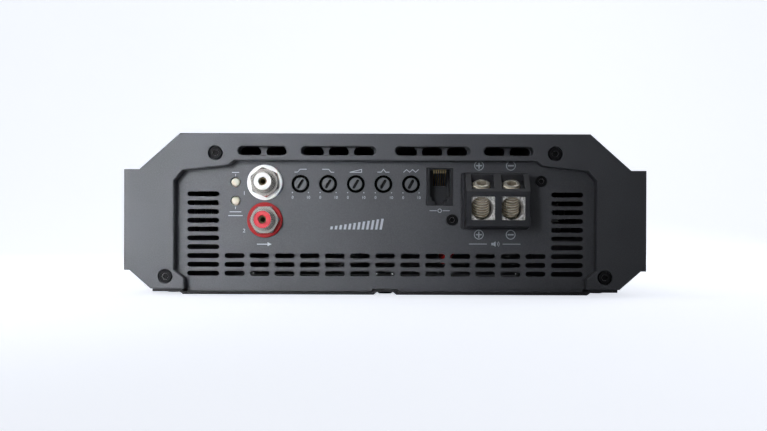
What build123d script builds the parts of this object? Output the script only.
from build123d import *

import os
from math import cos, radians, sin, tan

# Car amplifier: a mono class D power amplifier in an extruded heatsink case.
# +X is to the right seen from the control end, +Y runs from the control end to the supply end, +Z is up.
# The origin is on the surface the amplifier rests on, under the middle of the case. Units are millimetres.

os.makedirs("parts", exist_ok=True)

# ---- Driving dimensions --------------------------------------------------------------------------
CASE_LENGTH = 311.0  # heatsink extrusion, without panels and bezels
PANEL_T = 1.5  # sheet steel end panels
BEZEL_T = 8.0  # cast frames in front of the panels
FACE_D = PANEL_T + BEZEL_T  # outer face of a bezel, outward from the heatsink's end

# Case outline seen from an end: half widths and heights
CASE_TOP = 71.0
TOP_HALF = 90.3
SHOULDER_HALF, SHOULDER_Z = 108.3, 55.0
CASE_HALF = 115.0
FLANK_FOOT_Z = 10.6
FOOT_LEDGE_HALF = 112.6
FOOT_HALF, FOOT_Z = 103.2, 2.4
HEATSINK_INSET = 0.8  # the extrusion stands this far inside the bezels
PANEL_INSET = 1.2

# Heatsink section
CAVITY_HALF, CAVITY_TOP = 93.0, 57.4
DUCT_LOW, DUCT_HIGH = 60.0, 67.0
DUCT_CELL_W = 9.6
NARROW_CELLS = [(-40.2, 3.6), (0, 6.4), (40.2, 3.6)]  # middle and width
SCREW_CLEAR = 1.7  # M3 clearance hole
SCREW_TAPPED = 1.55  # hole around an M3 screw's threads
SCREW_SHANK = 1.5
BEZEL_SCREWS = [(-74.8, 62.3), (74.8, 62.3), (-96.8, 7.8), (96.8, 7.8)]
BEZEL_SCREW_L = 16.0
COUNTERBORE_R, COUNTERBORE_DEPTH = 3.3, 3.3

# Ventilation slots of the end panels
VENT_PITCH_X, VENT_PITCH_Z = 11.18, 3.93
VENT_W, WIDE_VENT_W, VENT_H = 8.95, 14.3, 2.27
VENT_ROW_Z = 9.1  # lowest row
WIDE_VENT_X = 81.1
WIDE_VENT_TOP_Z = VENT_ROW_Z + 9 * VENT_PITCH_Z  # highest row of wide slots
# Rows of wide slots, then the middle, columns and rows of the grille of short slots
CONTROL_VENTS = (10, 0, VENT_ROW_Z + VENT_PITCH_Z, 13, 3)
SUPPLY_VENTS = (7, -3 * VENT_PITCH_X, 38.0, 7, 5)
DUCT_VENT_W, DUCT_VENT_H, DUCT_VENT_Z = 9.1, 3.9, 63.3
DUCT_WINDOW_END = 0.65  # a bezel's window reaches this far past its outer slots
DUCT_GROUPS = [(20.75, 3), (54.2, 2)]  # centre and number of slots of each group, on both sides

# Controls and connectors on the control end
INPUT_X, INPUT_ZS = -53.6, (49.6, 32.9)
LAMP_X, LAMP_ZS = -66.75, (49.75, 41.4)
LAMP_R, LAMP_HOLE_R = 1.95, 2.3
DIAL_Z, DIAL_PITCH, DIAL_FIRST_X = 49.1, 12.32, -37.8
DIAL_NAMES = ["high_pass_dial", "low_pass_dial", "gain_dial", "boost_dial", "bass_frequency_dial"]
SOCKET_X, SOCKET_Z = 24.3, 48.0
SOCKET_W, SOCKET_H = 11.9, 17.0
SPEAKER_X, SUPPLY_X = 48.95, 40.0
POLE_PITCH = 13.1
WIRE_Z = 38.0  # height of the wire entries
WIRE_R, SMALL_WIRE_R = 5.0, 1.8
CLAMP_R, SMALL_CLAMP_R = 4.0, 2.0

# Base plate, pressed from one sheet
BASE_SHEET_T = 1.2
TRAY_INNER_X, TRAY_OUTER_X = 5.6, 88.4  # flat part of each pressed tray's upper surface
BASE_SCREW_X = 96.8
BASE_SCREW_Y = (-138.0, -46.0, 46.0, 138.0)
TAB_DEPTH = 12.0  # folded tab at the foot of each panel
MIDDLE_SCREW_D = 6.0  # middle base plate screws, inward from the heatsink's end
MOUNT_Y = 110.0
INSERT_R, INSERT_BORE_R = 2.9, 1.65

# Boards
BOARD_T = 1.6
BOARD_Z = 50.2  # component side, which faces down
BOARD_HALF_X, BOARD_HALF_Y = 84.0, 134.0
BOARD_SCREWS = [(x, y) for x in (-60.0, 60.0) for y in (-126.0, -42.0, 42.0, 126.0)]
CONTROL_BOARD_D = -9.5
CLAMP_SCREW_Y = (-90.0, -45.0, 0.0, 45.0, 90.0)
CLAMP_SCREW_Z = 38.0
DEVICE_T = 5.0  # power transistor bodies
PAD_T = 0.3

CONTROL_END = Plane(origin=(0, -CASE_LENGTH / 2, 0), x_dir=(1, 0, 0), z_dir=(0, -1, 0))
SUPPLY_END = Plane(origin=(0, CASE_LENGTH / 2, 0), x_dir=(-1, 0, 0), z_dir=(0, 1, 0))
ENDS = (CONTROL_END, SUPPLY_END)
UP = Vector(0, 0, 1)


def save(piece, label):
    """Labels a finished piece and writes its file."""
    piece.part.label = label
    export_step(piece.part, f"parts/{label}.step")


def group(parts, label):
    """Writes several finished solids as one piece."""
    with BuildPart() as together:
        for part in parts:
            add(part)
    save(together, label)


def facing_down(z):
    """Horizontal plane whose normal points down, with x kept and y reversed."""
    return Plane(origin=(0, 0, z), x_dir=(1, 0, 0), z_dir=(0, 0, -1))


def side_plane(end, x):
    """Plane across an end at local x: its own x runs outward from the case and its y runs up."""
    return Plane(origin=end.from_local_coords((x, 0, 0)), x_dir=end.z_dir, z_dir=end.z_dir.cross(UP))


# ---- Case ----------------------------------------------------------------------------------------
def end_outline(inset=0.0):
    """The case seen from an end, shrunk by inset except along the bottom."""
    with BuildSketch() as outline:
        with BuildLine():
            Polyline(
                (0, CASE_TOP),
                (TOP_HALF, CASE_TOP),
                (SHOULDER_HALF, SHOULDER_Z),
                (CASE_HALF, SHOULDER_Z),
                (CASE_HALF, FLANK_FOOT_Z),
                (FOOT_LEDGE_HALF, FLANK_FOOT_Z),
                (FOOT_HALF, FOOT_Z),
                (0, FOOT_Z),
            )
            mirror(about=Plane.YZ)
        make_face()
        if inset:
            offset(amount=-inset, kind=Kind.INTERSECTION)
            with Locations((0, FOOT_Z + inset)):
                Rectangle(2 * (FOOT_HALF - 2 * inset), 2 * inset)
    return outline.sketch


def recess_outline():
    """The opening of a bezel, which leaves the panel behind it free down to the bottom edge."""
    with BuildSketch() as recess:
        with BuildLine():
            Polyline(
                (0, 59.1),
                (66.6, 59.1),
                (69.1, 57.0),
                (89.2, 54.7),
                (93.1, 50.3),
                (93.1, 10.8),
                (88.6, 7.1),
                (88.6, FOOT_Z - 1),
                (0, FOOT_Z - 1),
            )
            mirror(about=Plane.YZ)
        make_face()
    return recess.sketch


def make_bezel(end, label):
    """Frame around an end panel, with long windows over the duct slots."""
    with BuildPart() as bezel:
        with BuildSketch(end.offset(PANEL_T)):
            add(end_outline())
            add(recess_outline(), mode=Mode.SUBTRACT)
            for centre, count in DUCT_GROUPS:
                with Locations((-centre, DUCT_VENT_Z), (centre, DUCT_VENT_Z)):
                    slots = (count - 1) * VENT_PITCH_X + DUCT_VENT_W
                    SlotOverall(slots + 2 * DUCT_WINDOW_END, DUCT_VENT_H, mode=Mode.SUBTRACT)
        extrude(amount=BEZEL_T)
        front = bezel.faces().sort_by(Axis(end.origin, end.z_dir))[-1]
        chamfer(front.edges(), 0.35)
        with Locations(end.offset(FACE_D)):
            with Locations(*BEZEL_SCREWS):
                CounterBoreHole(SCREW_CLEAR, COUNTERBORE_R, COUNTERBORE_DEPTH)
    save(bezel, label)


def panel_vents(layout):
    """Slots of an end panel: two wide columns, a grille of short slots and the duct slots under the top."""
    wide_rows, x, z, columns, rows = layout
    with BuildSketch() as vents:
        with Locations((0, WIDE_VENT_TOP_Z - (wide_rows - 1) / 2 * VENT_PITCH_Z)):
            with GridLocations(2 * WIDE_VENT_X, VENT_PITCH_Z, 2, wide_rows):
                SlotOverall(WIDE_VENT_W, VENT_H)
        with Locations((x, z)):
            with GridLocations(VENT_PITCH_X, VENT_PITCH_Z, columns, rows):
                SlotOverall(VENT_W, VENT_H)
        for centre, count in DUCT_GROUPS:
            for side in (-1, 1):
                with Locations((side * centre, DUCT_VENT_Z)):
                    with GridLocations(VENT_PITCH_X, 1, count, 1):
                        SlotOverall(DUCT_VENT_W, DUCT_VENT_H + 0.2)
    return vents.sketch


def make_panel(end, layout, cutouts, label):
    """Sheet steel panel with its vents, its own cutouts and a folded tab for the middle base screw."""
    with BuildPart() as panel:
        with BuildSketch(end):
            add(end_outline(PANEL_INSET))
            add(panel_vents(layout), mode=Mode.SUBTRACT)
            add(cutouts, mode=Mode.SUBTRACT)
            with Locations(*BEZEL_SCREWS):
                Circle(SCREW_CLEAR, mode=Mode.SUBTRACT)
        extrude(amount=PANEL_T)
        # Thinned lips that hang down to the base plate's trays
        lip_top, lip_foot = FOOT_Z + 1, FOOT_Z - BASE_SHEET_T + 0.1
        lip_x = (TRAY_INNER_X + TRAY_OUTER_X) / 2
        with BuildSketch(end):
            with Locations(*[(side * lip_x, (lip_top + lip_foot) / 2) for side in (-1, 1)]):
                Rectangle(TRAY_OUTER_X - TRAY_INNER_X - 0.2, lip_top - lip_foot)
        extrude(amount=PANEL_T / 2)
        with BuildSketch(Plane.XY.offset(FOOT_Z)):
            with Locations(end.from_local_coords((0, 0, -TAB_DEPTH / 2))):
                Rectangle(20, TAB_DEPTH)
            with Locations(end.from_local_coords((0, 0, -MIDDLE_SCREW_D))):
                Circle(SCREW_TAPPED, mode=Mode.SUBTRACT)
        extrude(amount=PANEL_T)
    save(panel, label)


def control_cutouts():
    """Holes of the control panel for the inputs, lamps, dials, remote socket and speaker terminals."""
    with BuildSketch() as holes:
        with Locations(*[(INPUT_X, z) for z in INPUT_ZS]):
            Circle(5.6)
        with Locations(*[(LAMP_X, z) for z in LAMP_ZS]):
            Circle(LAMP_HOLE_R)
        with Locations(*[(DIAL_FIRST_X + DIAL_PITCH * i, DIAL_Z) for i in range(5)]):
            Circle(DIAL_BUSH_R + 0.1)
        with Locations((SOCKET_X, SOCKET_Z)):
            Rectangle(SOCKET_W + 0.2, SOCKET_H + 0.2)
        add(housing_cutout(SPEAKER_X, SPEAKER_HALF, SPEAKER_FIXINGS))
    return holes.sketch


def housing_cutout(centre, half, fixings):
    """Panel hole around a terminal housing's collar, and its two fixing holes."""
    with BuildSketch() as hole:
        with Locations((centre, COLLAR_Z)):
            RectangleRounded(2 * half + 2.8, COLLAR_H + 0.3, 1.3)
        with Locations(*fixings):
            Circle(SCREW_CLEAR)
    return hole.sketch


def heatsink_section():
    """Section of the extrusion: the case outline less the cavity, duct cells and grooves."""
    with BuildSketch() as section:
        add(end_outline(HEATSINK_INSET))
        with BuildLine():
            Polyline(
                (0, CAVITY_TOP),
                (CAVITY_HALF - 3, CAVITY_TOP),
                (CAVITY_HALF, CAVITY_TOP - 3),
                (CAVITY_HALF, FOOT_Z - 1),
                (0, FOOT_Z - 1),
            )
            mirror(about=Plane.YZ)
        make_face(mode=Mode.SUBTRACT)
        # Duct cells, one behind each duct slot, with narrower ones in the gaps between the groups
        duct_z = (DUCT_LOW + DUCT_HIGH) / 2
        for centre, count in DUCT_GROUPS:
            with Locations((-centre, duct_z), (centre, duct_z)):
                with GridLocations(VENT_PITCH_X, 1, count, 1):
                    RectangleRounded(DUCT_CELL_W, DUCT_HIGH - DUCT_LOW, 0.8, mode=Mode.SUBTRACT)
        for x, width in NARROW_CELLS:
            with Locations((x, duct_z)):
                RectangleRounded(width, DUCT_HIGH - DUCT_LOW, 0.8, mode=Mode.SUBTRACT)
        # Horizontal grooves down the flanks
        with Locations((0, 34.0)):
            with GridLocations(2 * CASE_HALF, 6.6, 2, 6):
                SlotOverall(24, 3.5, mode=Mode.SUBTRACT)
        for x, floor in ((95.0, 59.5), (100.3, 56.5), (105.4, 53.5)):
            with Locations((-x, floor + 10), (x, floor + 10)):
                Rectangle(2.8, 20, mode=Mode.SUBTRACT)
        # Shallow lines on the top face
        for first, count in ((24.0, 3), (72.0, 5)):
            for line in range(count):
                x = first + 4.0 * line
                with Locations((-x, CASE_TOP), (x, CASE_TOP)):
                    Rectangle(1.5, 5.0, mode=Mode.SUBTRACT)
    return section.sketch


def make_heatsink():
    with BuildPart() as heatsink:
        with BuildSketch(CONTROL_END):
            add(heatsink_section())
        extrude(amount=-CASE_LENGTH)
        for end in ENDS:
            with BuildSketch(end):
                with Locations(*BEZEL_SCREWS):
                    Circle(SCREW_TAPPED)
            extrude(amount=-(BEZEL_SCREW_L - 4), mode=Mode.SUBTRACT)
        with BuildSketch(Plane.XY.offset(FOOT_Z)):
            with Locations(*[(x, y) for x in (-BASE_SCREW_X, BASE_SCREW_X) for y in BASE_SCREW_Y]):
                Circle(SCREW_TAPPED)
        extrude(amount=6, mode=Mode.SUBTRACT)
        with BuildSketch(Plane.XY.offset(FOOT_Z)):
            with GridLocations(2 * BASE_SCREW_X, 2 * MOUNT_Y, 2, 2):
                Circle(INSERT_R + 0.2)
        extrude(amount=10, mode=Mode.SUBTRACT)
        with BuildSketch(Plane.XY.offset(CAVITY_TOP)):
            with Locations(*BOARD_SCREWS):
                Circle(SCREW_TAPPED)
        extrude(amount=2.2, mode=Mode.SUBTRACT)
        with BuildSketch(Plane.YZ):
            with Locations(*[(y, CLAMP_SCREW_Z) for y in CLAMP_SCREW_Y]):
                Circle(SCREW_TAPPED)
        extrude(amount=CAVITY_HALF + 6, both=True, mode=Mode.SUBTRACT)
    save(heatsink, "heatsink")


def make_base_plate():
    """Base plate: rims and a middle strip at the height of the case, with two trays pressed down."""
    rim, drop = FOOT_Z, BASE_SHEET_T
    with BuildPart() as base:
        with BuildSketch(CONTROL_END.offset(FACE_D - 0.5)):
            with BuildLine():
                Polyline(
                    (0, rim),
                    (TRAY_INNER_X - 1.4, rim),
                    (TRAY_INNER_X, rim - drop),
                    (TRAY_OUTER_X, rim - drop),
                    (TRAY_OUTER_X + 1.6, rim),
                    (FOOT_HALF - 0.8, rim),
                    (FOOT_HALF - 0.8, rim - BASE_SHEET_T),
                    (TRAY_OUTER_X + 2.2, rim - BASE_SHEET_T),
                    (TRAY_OUTER_X + 0.6, 0),
                    (TRAY_INNER_X - 0.6, 0),
                    (TRAY_INNER_X - 2.0, rim - BASE_SHEET_T),
                    (0, rim - BASE_SHEET_T),
                )
                mirror(about=Plane.YZ)
            make_face()
        extrude(amount=-(CASE_LENGTH + 2 * FACE_D - 1))
        with BuildSketch(Plane.XY):
            with Locations(*base_screw_points()):
                Circle(SCREW_CLEAR)
            with GridLocations(2 * BASE_SCREW_X, 2 * MOUNT_Y, 2, 2):
                Circle(INSERT_R + 0.05)
        extrude(amount=FOOT_Z + 1, mode=Mode.SUBTRACT)
    save(base, "base_plate")


def base_screw_points():
    rails = [(x, y) for x in (-BASE_SCREW_X, BASE_SCREW_X) for y in BASE_SCREW_Y]
    middle = CASE_LENGTH / 2 - MIDDLE_SCREW_D
    return rails + [(0, -middle), (0, middle)]


# ---- Fasteners -----------------------------------------------------------------------------------
def cap_screws(plane, points, length, head_r=2.75, head_h=3.0, socket=2.5):
    """Socket cap screws whose heads rest on plane, with their shanks running back along its normal."""
    with BuildPart() as screws:
        with BuildSketch(plane):
            with Locations(*points):
                Circle(head_r)
        extrude(amount=head_h)
        tops = screws.faces().sort_by(Axis(plane.origin, plane.z_dir))[-len(points):]
        fillet(tops.edges(), 0.4)
        with BuildSketch(plane.offset(head_h)):
            with Locations(*points):
                RegularPolygon(socket / 2, 6, major_radius=False)
        extrude(amount=-0.6 * head_h, mode=Mode.SUBTRACT)
        with BuildSketch(plane):
            with Locations(*points):
                Circle(SCREW_SHANK)
        extrude(amount=-length)
    return screws.part


def pan_screws(plane, points, length, head_r=2.7, head_h=1.1):
    """Low cross-recessed screws whose heads rest on plane."""
    with BuildPart() as screws:
        with BuildSketch(plane):
            with Locations(*points):
                Circle(head_r)
        extrude(amount=head_h)
        tops = screws.faces().sort_by(Axis(plane.origin, plane.z_dir))[-len(points):]
        fillet(tops.edges(), 0.6)
        with BuildSketch(plane.offset(head_h)):
            with Locations(*points):
                Rectangle(2.6, 0.6)
                Rectangle(0.6, 2.6)
        extrude(amount=-0.7, mode=Mode.SUBTRACT)
        with BuildSketch(plane):
            with Locations(*points):
                Circle(SCREW_SHANK)
        extrude(amount=-length)
    return screws.part


def make_fasteners():
    seat = FACE_D - COUNTERBORE_DEPTH
    group([cap_screws(end.offset(seat), BEZEL_SCREWS, BEZEL_SCREW_L) for end in ENDS], "bezel_screws")
    underside = facing_down(FOOT_Z - BASE_SHEET_T)
    base_points = [(x, -y) for x, y in base_screw_points()]
    group([pan_screws(underside, base_points, 4.2, head_r=3.2)], "base_screws")
    board_points = [(x, -y) for x, y in BOARD_SCREWS]
    group([pan_screws(facing_down(BOARD_Z), board_points, 9.0, head_h=1.8)], "board_screws")
    with BuildPart() as spacers:
        with BuildSketch(Plane.XY.offset(BOARD_Z + BOARD_T)):
            with Locations(*BOARD_SCREWS):
                RegularPolygon(3.0, 6, major_radius=False)
                Circle(SCREW_TAPPED, mode=Mode.SUBTRACT)
        extrude(amount=CAVITY_TOP - BOARD_Z - BOARD_T)
    save(spacers, "board_spacers")
    with BuildPart() as inserts:
        with BuildSketch(Plane.XY.offset(FOOT_Z - BASE_SHEET_T - 0.8)):
            with GridLocations(2 * BASE_SCREW_X, 2 * MOUNT_Y, 2, 2):
                Circle(4.2)
        extrude(amount=0.8)
        with BuildSketch(Plane.XY.offset(FOOT_Z - BASE_SHEET_T)):
            with GridLocations(2 * BASE_SCREW_X, 2 * MOUNT_Y, 2, 2):
                Circle(INSERT_R)
        extrude(amount=9.2)
        with BuildSketch(Plane.XY):
            with GridLocations(2 * BASE_SCREW_X, 2 * MOUNT_Y, 2, 2):
                Circle(INSERT_BORE_R)
        extrude(amount=20, mode=Mode.SUBTRACT)
    save(inserts, "mounting_inserts")


# ---- Terminal blocks -----------------------------------------------------------------------------
HOUSING_D = 20.5  # front of a housing, outward from the heatsink's end
BLOCK_D = 19.0
SLOPE_SUM = 65.8  # on a housing's sloping face, outward distance plus height
CLAMP_LEAN = radians(30)  # clamp screws' lean outward from vertical
CLAMP_TOP_D, CLAMP_TOP_Z = 15.6, 49.09  # middle of a clamp screw's outer end when it is driven down
FLOOR_DEPTH = 1.7  # pocket floors, below the screws' outer ends and square to the screws
SEAT_DEPTH = 3.2  # the blocks' sloping seats, likewise
HOUSING_LOW, HOUSING_HIGH = 30.0, 53.4
COLLAR_Z, COLLAR_H = 41.65, 25.1
BLOCK_LOW, BLOCK_HIGH, BLOCK_BACK = 32.2, 50.4, -6.0
BLOCK_W, SMALL_BLOCK_W = 11.4, 6.8
BLOCK_SHIFT = -0.5  # blocks and their screws sit this far off the middle of their windows
WINDOW_RIM = 0.6  # the housing overlaps its blocks by this much around their windows
CLAMP_LENGTH, SMALL_CLAMP_LENGTH = 15.8, 14.8
THREAD_PITCH = 1.25
SPEAKER_HALF, SUPPLY_HALF = 13.85, 19.2
SPEAKER_FIXINGS = [(29.75, 33.2), (69.4, 50.5)]
SUPPLY_FIXINGS = [(SUPPLY_X - 24.5, 33.2), (SUPPLY_X + 24.5, 50.5)]
# Each pole: distance from the housing's middle, wire entry radius, clamp screw radius, block width
SPEAKER_POLES = [(side * POLE_PITCH / 2, WIRE_R, CLAMP_R, BLOCK_W) for side in (-1, 1)]
SUPPLY_POLES = [
    (-12.4, WIRE_R, CLAMP_R, BLOCK_W),
    (0.7, WIRE_R, CLAMP_R, BLOCK_W),
    (12.0, SMALL_WIRE_R, SMALL_CLAMP_R, SMALL_BLOCK_W),
]


def clamp_plane(end, x, depth):
    """Plane across a clamp screw, depth below its outer end; its normal is the way the screw backs out."""
    axis = end.z_dir * sin(CLAMP_LEAN) + UP * cos(CLAMP_LEAN)
    top = end.from_local_coords(Vector(x, CLAMP_TOP_Z, CLAMP_TOP_D))
    return Plane(origin=top - axis * depth, x_dir=end.x_dir, z_dir=axis)


def seat_height(outward):
    """Height of the blocks' sloping seat at an outward distance."""
    return CLAMP_TOP_Z - SEAT_DEPTH / cos(CLAMP_LEAN) - (outward - CLAMP_TOP_D) * tan(CLAMP_LEAN)


def block_profile(growth=0.0):
    """Side view of a conductor block, with its upper front corner cut square to the clamp screw."""
    seat_back = CLAMP_TOP_D - (BLOCK_HIGH + growth - seat_height(CLAMP_TOP_D)) / tan(CLAMP_LEAN)
    with BuildSketch() as profile:
        with BuildLine():
            Polyline(
                (BLOCK_D, BLOCK_LOW - growth),
                (BLOCK_D, seat_height(BLOCK_D)),
                (seat_back, BLOCK_HIGH + growth),
                (BLOCK_BACK - 4 * growth, BLOCK_HIGH + growth),
                (BLOCK_BACK - 4 * growth, BLOCK_LOW - growth),
                close=True,
            )
        make_face()
    return profile.sketch


def conductor_block(end, centre, pole, label):
    """Metal block with a wire entry from the front and a clamp screw bore from above."""
    shift, wire_r, screw_r, width = pole
    x = centre + shift + BLOCK_SHIFT
    with BuildPart() as block:
        with BuildSketch(side_plane(end, x)):
            add(block_profile())
        extrude(amount=width / 2, both=True)
        with BuildSketch(end.offset(BLOCK_D)):
            with Locations((x, WIRE_Z)):
                Circle(wire_r)
        extrude(amount=-20, mode=Mode.SUBTRACT)
        front = block.faces().sort_by(Axis(end.origin, end.z_dir))[-1]
        chamfer(front.edges().filter_by(GeomType.CIRCLE), 0.25)
        with BuildSketch(clamp_plane(end, x, 0)):
            Circle(screw_r + 0.05)
        length = CLAMP_LENGTH if screw_r == CLAMP_R else SMALL_CLAMP_LENGTH
        extrude(amount=-length - 0.2, mode=Mode.SUBTRACT)
    save(block, label)


def clamp_screw(end, centre, pole, socket, label):
    """Grub screw with a hexagon socket, driven right down across the wire entry."""
    shift, _, screw_r, _ = pole
    length = CLAMP_LENGTH if screw_r == CLAMP_R else SMALL_CLAMP_LENGTH
    head = clamp_plane(end, centre + shift + BLOCK_SHIFT, 0)
    root = screw_r - 0.65
    with BuildPart() as screw:
        with BuildSketch(head):
            Circle(root)
        extrude(amount=-length)
        # Thread crests, one ridge to each turn of the pitch
        turns = int(length / THREAD_PITCH) - 1
        with BuildSketch(Plane(origin=head.origin, x_dir=head.x_dir, z_dir=-head.y_dir)):
            for turn in range(turns):
                low = -length + 0.5 + turn * THREAD_PITCH
                with BuildLine():
                    Polyline(
                        (root - 0.1, low),
                        (screw_r, low + 0.5),
                        (screw_r, low + 0.66),
                        (root - 0.1, low + THREAD_PITCH - 0.06),
                        close=True,
                    )
                make_face()
        revolve(axis=Axis(head.origin, head.z_dir))
        with BuildSketch(head):
            RegularPolygon(socket / 2, 6, major_radius=False)
        extrude(amount=-screw_r * 1.1, mode=Mode.SUBTRACT)
    save(screw, label)


def terminal_housing(end, centre, half, poles, fixings, label):
    """Insulating housing: a body that stands out through the panel and a flange that bears behind it."""
    with BuildPart() as housing:
        with BuildSketch(side_plane(end, centre)):
            with BuildLine():
                Polyline(
                    (-3, HOUSING_LOW),
                    (HOUSING_D, HOUSING_LOW),
                    (HOUSING_D, SLOPE_SUM - HOUSING_D),
                    (SLOPE_SUM - HOUSING_HIGH, HOUSING_HIGH),
                    (-3, HOUSING_HIGH),
                    close=True,
                )
            make_face()
        extrude(amount=half, both=True)
        front = housing.faces().sort_by(Axis(end.origin, end.z_dir))[-1]
        fillet(front.edges(), 0.5)
        with BuildSketch(end.offset(-3)):
            with Locations((centre, COLLAR_Z)):
                RectangleRounded(2 * half + 2.5, COLLAR_H, 1.2)
        extrude(amount=5.7)
        (low_x, low_z), (high_x, high_z) = fixings
        with BuildSketch(end.offset(-3)):
            with Locations((centre, COLLAR_Z)):
                RectangleRounded(2 * half + 5.5, COLLAR_H + 1.6, 1.5)
            with Locations((low_x + 3, low_z), (high_x - 3, high_z)):
                SlotOverall(13.6, 7.6)
            with Locations(*fixings):
                Circle(SCREW_TAPPED, mode=Mode.SUBTRACT)
        extrude(amount=3)
        for pole in poles:
            shift, _, screw_r, width = pole
            block_x = centre + shift + BLOCK_SHIFT
            with BuildSketch(side_plane(end, block_x)):
                add(block_profile(growth=0.1))
            extrude(amount=width / 2 + 0.1, both=True, mode=Mode.SUBTRACT)
            window = width - 2 * WINDOW_RIM
            with BuildSketch(end.offset(BLOCK_D - 0.5)):
                with Locations((centre + shift, WIRE_Z)):
                    RectangleRounded(window, window, 0.3)
            extrude(amount=3, mode=Mode.SUBTRACT)
            floor = clamp_plane(end, block_x, FLOOR_DEPTH)
            with BuildSketch(floor):
                with Locations((-BLOCK_SHIFT, 0)):
                    Rectangle(2 * screw_r + 1.8, 2 * screw_r + 0.9)
            extrude(amount=12, mode=Mode.SUBTRACT)
            with BuildSketch(floor):
                Circle(screw_r + 0.3)
            extrude(amount=FLOOR_DEPTH - SEAT_DEPTH - 0.5, mode=Mode.SUBTRACT)
    save(housing, label)


def make_terminals():
    terminal_housing(
        CONTROL_END, SPEAKER_X, SPEAKER_HALF, SPEAKER_POLES, SPEAKER_FIXINGS, "speaker_housing"
    )
    for pole, name in zip(SPEAKER_POLES, ("positive", "negative")):
        conductor_block(CONTROL_END, SPEAKER_X, pole, f"speaker_{name}_block")
        clamp_screw(CONTROL_END, SPEAKER_X, pole, 4.0, f"speaker_{name}_screw")
    terminal_housing(SUPPLY_END, SUPPLY_X, SUPPLY_HALF, SUPPLY_POLES, SUPPLY_FIXINGS, "supply_housing")
    for pole, name in zip(SUPPLY_POLES, ("supply_positive", "supply_ground", "turn_on")):
        conductor_block(SUPPLY_END, SUPPLY_X, pole, f"{name}_block")
        clamp_screw(SUPPLY_END, SUPPLY_X, pole, 4.0 if pole[2] == CLAMP_R else 2.0, f"{name}_screw")
    screws = []
    for end, points in zip(ENDS, (SPEAKER_FIXINGS, SUPPLY_FIXINGS)):
        screws.append(cap_screws(end.offset(PANEL_T), points, 4.5, head_r=2.5, head_h=1.8, socket=2.0))
    group(screws, "housing_screws")


# ---- Phono inputs --------------------------------------------------------------------------------
PHONO_SHELL_R, PHONO_INSERT_R, PHONO_THREAD_R = 4.15, 3.85, 4.65
PHONO_BORE_R = 1.8
PHONO_FRONT_D = 15.5
NUT_TURNS = (38, 2)  # how the two nuts happen to stand, in degrees


def turned(end, x, z, points):
    """Solid turned about a line through local x and height z, from (outward distance, radius) points."""
    plane = Plane(origin=end.from_local_coords((x, z, 0)), x_dir=end.z_dir, z_dir=end.z_dir.cross(UP))
    with BuildPart() as body:
        with BuildSketch(plane):
            with BuildLine():
                Polyline(*points, close=True)
            make_face()
        revolve(axis=Axis(plane.origin, plane.x_dir))
    return body.part


def make_phono_inputs():
    """Two phono sockets: plated shells with coloured inserts and washers, held by nuts on the panel."""
    shell = [(-3.0, PHONO_INSERT_R), (-3.0, 6.4), (-1.0, 6.4), (-1.0, PHONO_THREAD_R)]
    for turn in range(9):
        low = 0.2 + 0.75 * turn
        shell += [(low, PHONO_THREAD_R), (low + 0.35, PHONO_THREAD_R - 0.3), (low + 0.6, PHONO_THREAD_R)]
    shell += [(7.2, PHONO_THREAD_R), (7.2, PHONO_SHELL_R), (PHONO_FRONT_D - 0.15, PHONO_SHELL_R)]
    shell += [(PHONO_FRONT_D, PHONO_SHELL_R - 0.15), (PHONO_FRONT_D, PHONO_INSERT_R)]
    group([turned(CONTROL_END, INPUT_X, z, shell) for z in INPUT_ZS], "phono_shells")
    insert = [(-8, PHONO_BORE_R), (-8, 5.4), (-3, 5.4), (-3, PHONO_INSERT_R)]
    insert += [(15.1, PHONO_INSERT_R), (15.35, PHONO_INSERT_R - 0.3)]
    insert += [(15.35, PHONO_BORE_R + 0.2), (15.15, PHONO_BORE_R)]
    washer = [(0, 4.75), (0, 5.5), (PANEL_T, 5.5), (PANEL_T, 7.85), (2.9, 7.85), (3.1, 7.6), (3.1, 4.75)]
    for z, colour in zip(INPUT_ZS, ("white", "red")):
        group([turned(CONTROL_END, INPUT_X, z, insert)], f"phono_insert_{colour}")
        group([turned(CONTROL_END, INPUT_X, z, washer)], f"phono_washer_{colour}")
    contact = [(-9.5, 1.2), (-9.5, 1.75), (12.2, 1.75), (12.5, 1.5), (12.5, 1.2)]
    group([turned(CONTROL_END, INPUT_X, z, contact) for z in INPUT_ZS], "phono_contacts")
    places = [(INPUT_X, z) for z in INPUT_ZS]
    with BuildPart() as nuts:
        with BuildSketch(CONTROL_END.offset(3.1)):
            for place, turn in zip(places, NUT_TURNS):
                with Locations(place):
                    RegularPolygon(5.9, 6, major_radius=False, rotation=turn)
        extrude(amount=2.6)
        with BuildSketch(CONTROL_END.offset(5.7)):
            with Locations(*places):
                Circle(6.0)
        extrude(amount=-2.6, taper=-28, mode=Mode.INTERSECT)
        with BuildSketch(CONTROL_END.offset(3.1)):
            with Locations(*places):
                Circle(PHONO_THREAD_R + 0.05)
        extrude(amount=3, mode=Mode.SUBTRACT)
    save(nuts, "phono_nuts")


# ---- Dials, lamps and the remote socket ----------------------------------------------------------
DIAL_SHAFT_R, DIAL_BUSH_R = 2.8, 3.95
DIAL_TILT = 29.0  # the screwdriver slot's lean from vertical at the lowest setting


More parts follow.
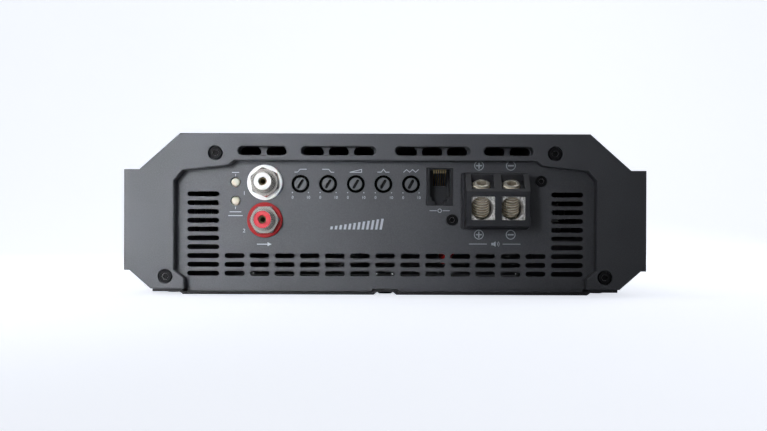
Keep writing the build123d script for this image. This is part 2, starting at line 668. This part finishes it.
def make_dials():
    """Five trimmer potentiometers set by a screwdriver: fixed bodies and turning shafts."""
    places = [(DIAL_FIRST_X + DIAL_PITCH * i, DIAL_Z) for i in range(5)]
    with BuildPart() as bodies:
        with BuildSketch(CONTROL_END.offset(CONTROL_BOARD_D)):
            with Locations(*places):
                RectangleRounded(9.8, 11.2, 0.6)
        extrude(amount=8.3)
        with BuildSketch(CONTROL_END.offset(-1.2)):
            with Locations(*places):
                Circle(DIAL_BUSH_R)
        extrude(amount=2.3)
        with BuildSketch(CONTROL_END.offset(-7)):
            with Locations(*places):
                Circle(DIAL_SHAFT_R + 0.05)
        extrude(amount=12, mode=Mode.SUBTRACT)
    save(bodies, "dial_bodies")
    for (x, z), name in zip(places, DIAL_NAMES):
        with BuildPart() as dial:
            with BuildSketch(CONTROL_END.offset(-6.9)):
                with Locations((x, z)):
                    Circle(DIAL_SHAFT_R)
            extrude(amount=8.5)
            front = dial.faces().sort_by(Axis(CONTROL_END.origin, CONTROL_END.z_dir))[-1]
            chamfer(front.edges(), 0.25)
            with BuildSketch(CONTROL_END.offset(1.6)):
                with Locations((x, z)):
                    SlotOverall(4.7, 1.3, rotation=90 - DIAL_TILT)
            extrude(amount=-2.2, mode=Mode.SUBTRACT)
        save(dial, name)


def make_lamps():
    """Two round indicator lamps on long legs from the control board."""
    lens = [(-4.5, 0), (-4.5, LAMP_R + 0.4), (-3.5, LAMP_R + 0.4), (-3.5, LAMP_R)]
    lens += [(0.5, LAMP_R), (1.2, 0.85 * LAMP_R), (1.65, 0.5 * LAMP_R), (1.8, 0)]
    for z, name in zip(LAMP_ZS, ("power_lamp", "protection_lamp")):
        with BuildPart() as lamp:
            add(turned(CONTROL_END, LAMP_X, z, lens))
            with BuildSketch(CONTROL_END.offset(CONTROL_BOARD_D)):
                with Locations((LAMP_X - 1.27, z), (LAMP_X + 1.27, z)):
                    Rectangle(0.5, 0.5)
            extrude(amount=5)
        save(lamp, name)


def make_remote_socket():
    """Modular socket for the wired level control, with a latch slot and six spring contacts."""
    left = SOCKET_X
    with BuildPart() as socket:
        with BuildSketch(CONTROL_END.offset(CONTROL_BOARD_D)):
            with Locations((left, SOCKET_Z)):
                Rectangle(SOCKET_W, SOCKET_H)
        extrude(amount=10.9)
        with BuildSketch(CONTROL_END.offset(1.4)):
            with Locations((left, 49.5)):
                Rectangle(8.75, 12.4)
            with Locations((left, 42.5)):
                Rectangle(6.9, 2.0)
            with Locations((left, 40.9)):
                Rectangle(4.0, 1.8)
        extrude(amount=-9.4, mode=Mode.SUBTRACT)
    save(socket, "remote_socket")
    with BuildPart() as contacts:
        for i in range(6):
            with BuildSketch(side_plane(CONTROL_END, left + 1.02 * (i - 2.5))):
                with BuildLine():
                    Polyline(
                        (0.2, 55.7),
                        (0.2, 54.4),
                        (-7.0, 49.2),
                        (-7.0, 48.7),
                        (0.6, 54.0),
                        (0.6, 55.7),
                        close=True,
                    )
                make_face()
            extrude(amount=0.25, both=True)
    save(contacts, "remote_socket_contacts")


# ---- Boards and what they carry ------------------------------------------------------------------
def make_boards():
    with BuildPart() as board:
        with BuildSketch(Plane.XY.offset(BOARD_Z)):
            Rectangle(2 * BOARD_HALF_X, 2 * BOARD_HALF_Y)
            with Locations(*BOARD_SCREWS):
                Circle(SCREW_CLEAR, mode=Mode.SUBTRACT)
        extrude(amount=BOARD_T)
    save(board, "main_board")
    with BuildPart() as control:
        with BuildSketch(CONTROL_END.offset(CONTROL_BOARD_D - BOARD_T)):
            with Locations((-19.8, 41.4)):
                Rectangle(106, 30.6)
        extrude(amount=BOARD_T)
    save(control, "control_board")
    with BuildPart() as link:
        with BuildSketch(Plane.YZ.offset(-25)):
            with BuildLine():
                back = -CASE_LENGTH / 2 - CONTROL_BOARD_D + BOARD_T
                Polyline(
                    (back, 40),
                    (back, 47),
                    (back + 9, 47),
                    (back + 9, BOARD_Z),
                    (back + 16, BOARD_Z),
                    (back + 16, 40),
                    close=True,
                )
            make_face()
        extrude(amount=34)
    save(link, "board_link")
    with BuildPart() as driver:
        with BuildSketch(Plane.XZ.offset(-8)):
            with Locations((-8, BOARD_Z - 13)):
                Rectangle(64, 26)
        extrude(amount=BOARD_T)
    save(driver, "driver_board")


def make_output_stage():
    """Power transistors clamped to both walls of the cavity through insulating pads."""
    with BuildPart() as devices:
        for side in (-1, 1):
            outer = side * (CAVITY_HALF - PAD_T)
            rows = [y + shift for y in CLAMP_SCREW_Y[:-1] for shift in (12.5, 32.5)]
            with BuildSketch(Plane.YZ.offset(outer)):
                with Locations(*[(y, 36.0) for y in rows]):
                    RectangleRounded(15.6, 19.0, 0.8)
            extrude(amount=-side * DEVICE_T)
            with BuildSketch(Plane.YZ.offset(outer - side * 2.0)):
                with Locations(*[(y + lead, 48.0) for y in rows for lead in (-5.4, 0, 5.4)]):
                    Rectangle(1.2, 6.0)
            extrude(amount=-side * 0.8)
    save(devices, "power_transistors")
    screw_places = [(y, CLAMP_SCREW_Z) for y in CLAMP_SCREW_Y]
    with BuildPart() as pads:
        for side in (-1, 1):
            with BuildSketch(Plane.YZ.offset(side * CAVITY_HALF)):
                with Locations((0, 36.0)):
                    RectangleRounded(200, 22, 2)
                with Locations(*screw_places):
                    Circle(SCREW_CLEAR, mode=Mode.SUBTRACT)
            extrude(amount=-side * PAD_T)
    save(pads, "insulating_pads")
    with BuildPart() as bars:
        for side in (-1, 1):
            with BuildSketch(Plane.YZ.offset(side * (CAVITY_HALF - PAD_T - DEVICE_T))):
                with Locations((0, CLAMP_SCREW_Z)):
                    RectangleRounded(196, 9, 1.5)
                with Locations(*screw_places):
                    Circle(SCREW_CLEAR, mode=Mode.SUBTRACT)
            extrude(amount=-side * 3)
    save(bars, "clamp_bars")
    seat = CAVITY_HALF - PAD_T - DEVICE_T - 3
    left = Plane(origin=(-seat, 0, 0), x_dir=(0, -1, 0), z_dir=(1, 0, 0))
    right = Plane(origin=(seat, 0, 0), x_dir=(0, 1, 0), z_dir=(-1, 0, 0))
    sets = []
    for plane in (left, right):
        points = [plane.to_local_coords(Vector(0, y, CLAMP_SCREW_Z)) for y in CLAMP_SCREW_Y]
        sets.append(pan_screws(plane, [(p.X, p.Y) for p in points], 13.5, head_h=2.0))
    group(sets, "clamp_screws")


def ring_core(x, y, outer_r, inner_r, height, gap):
    """Ring core lying under the board, with gap between them for the winding."""
    with BuildPart() as core:
        with BuildSketch(Plane.XY.offset(BOARD_Z - gap - height)):
            with Locations((x, y)):
                Circle(outer_r)
                Circle(inner_r, mode=Mode.SUBTRACT)
        extrude(amount=height)
        fillet(core.edges(), 1.2)
    return core.part


def make_magnetics():
    """Supply transformers and the output filter inductor, each a ring core with its winding."""
    cores, windings = [], []
    for x, y in ((-40.0, 92.0), (14.0, 92.0)):
        cores.append(ring_core(x, y, 21, 11, 18, 2.6))
        windings += wound_turns(x, y, 21, 11, 18, 2.6, 1.2, 20)
    group(cores, "transformer_cores")
    group(windings, "transformer_windings")
    group([ring_core(30.0, -98.0, 18, 9, 16, 2.6)], "output_core")
    group(wound_turns(30.0, -98.0, 18, 9, 16, 2.6, 1.2, 16), "output_winding")


def wound_turns(x, y, outer_r, inner_r, height, gap, wire_r, count):
    """Separate turns of round wire around a ring core, evenly spaced."""
    clear = wire_r + 0.1
    low = BOARD_Z - gap - height - clear
    high = BOARD_Z - gap + clear
    radial = Plane(origin=(0, 0, 0), x_dir=(1, 0, 0), z_dir=(0, -1, 0))
    with BuildPart(mode=Mode.PRIVATE) as turn:
        with BuildLine(radial) as path:
            near, far = inner_r - clear, outer_r + clear
            FilletPolyline((near, low), (far, low), (far, high), (near, high), radius=2.0, close=True)
        start = path.line @ 0
        with BuildSketch(Plane(origin=start, z_dir=path.line % 0)):
            Circle(wire_r)
        sweep(path=path.line)
    places = PolarLocations(0, count).locations
    return [turn.part.moved(Location((x, y, 0)) * place) for place in places]


def make_capacitors():
    with BuildPart() as cans:
        with BuildSketch(Plane.XY.offset(BOARD_Z)):
            with Locations((0, 20)):
                with GridLocations(22, 0.1, 5, 1):
                    Circle(9)
            with Locations((52, 92), (52, 70), (52, 114), (-76, 92), (-76, 70)):
                Circle(6.3)
        extrude(amount=-34)
        bottoms = cans.faces().sort_by(Axis.Z)[:10]
        fillet(bottoms.edges(), 1.0)
    save(cans, "reservoir_capacitors")
    with BuildPart() as films:
        with BuildSketch(Plane.XY.offset(BOARD_Z)):
            with Locations((67, -98), (67, -80), (-9, -98)):
                RectangleRounded(26, 11, 0.8)
        extrude(amount=-18)
    save(films, "film_capacitors")


def lead(points, wire_r):
    """Round insulated wire through points."""
    with BuildPart(mode=Mode.PRIVATE) as wire:
        with BuildLine() as path:
            FilletPolyline(*points, radius=3.0)
        with BuildSketch(Plane(origin=path.line @ 0, z_dir=path.line % 0)):
            Circle(wire_r)
        sweep(path=path.line)
    return wire.part


def make_leads():
    """Heavy leads between the conductor blocks and the main board."""
    front = -CASE_LENGTH / 2 - BLOCK_BACK
    rear = CASE_LENGTH / 2 + BLOCK_BACK
    xs = [SPEAKER_X + pole[0] for pole in SPEAKER_POLES]
    for x, foot_x, name in ((xs[0], 27.0, "positive"), (xs[1], 66.0, "negative")):
        points = [(x, front, 35), (x, front + 5, 35), (foot_x, front + 5, 15)]
        points += [(foot_x, -124, 15), (foot_x, -124, BOARD_Z)]
        group([lead(points, 1.8)], f"speaker_{name}_lead")
    xs = [-(SUPPLY_X + pole[0]) for pole in SUPPLY_POLES]
    for x, name, wire_r in zip(xs, ("supply_positive", "supply_ground", "turn_on"), (2.4, 2.4, 0.9)):
        points = [(x, rear, 40), (x, rear - 24, 40), (x, rear - 24, BOARD_Z)]
        group([lead(points, wire_r)], f"{name}_lead")


supply_cutouts = housing_cutout(SUPPLY_X, SUPPLY_HALF, SUPPLY_FIXINGS)
make_bezel(CONTROL_END, "control_bezel")
make_bezel(SUPPLY_END, "supply_bezel")
make_panel(CONTROL_END, CONTROL_VENTS, control_cutouts(), "control_panel")
make_panel(SUPPLY_END, SUPPLY_VENTS, supply_cutouts, "supply_panel")
make_heatsink()
make_base_plate()
make_fasteners()
make_terminals()
make_phono_inputs()
make_dials()
make_lamps()
make_remote_socket()
make_boards()
make_output_stage()
make_magnetics()
make_capacitors()
make_leads()
